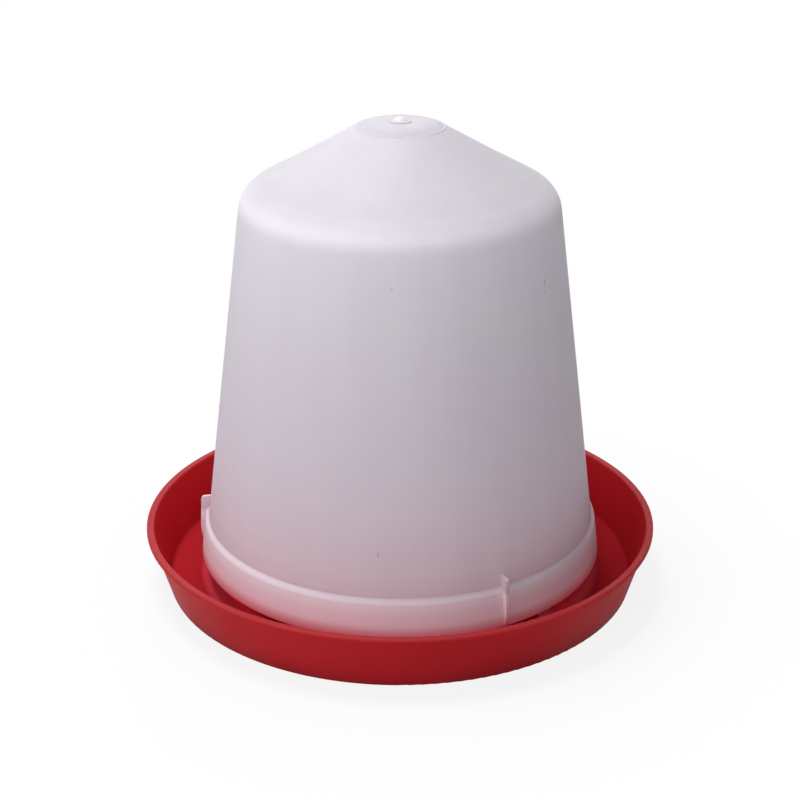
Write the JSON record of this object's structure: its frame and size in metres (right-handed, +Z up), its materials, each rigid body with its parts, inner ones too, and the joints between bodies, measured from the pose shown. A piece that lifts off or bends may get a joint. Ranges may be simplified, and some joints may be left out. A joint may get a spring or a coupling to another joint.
{
  "type": "poultry drinker",
  "caption": "Free-standing siphon drinker for poultry: a milky bell-shaped tank stands mouth down in a round red tray with a ring-shaped trough, and twists to lock or come off",
  "frame": {"origin": "centre of the circle on which the tray's foot ring stands, which is the bottom centre of the whole", "axes": "+Z is up, along the common axis of tray and tank; -Y is the front; +X is to the right seen from the front"},
  "size_m": [0.32, 0.32, 0.2931],
  "materials": {
    "tank": "milky, part see-through polyethylene with a soft sheen",
    "tray": "red moulded plastic with a soft gloss"
  },
  "bodies": {
    "tray": {"tray": "tray"},
    "tank": {"tank": "tank"}
  },
  "joints": [
    {"name": "tank_twist", "type": "hinge", "parent": "tray", "child": "tank", "pos_m": [0, 0, 0.0225], "axis": [0, 0, 1], "range_deg": [0, 22]}
  ]
}
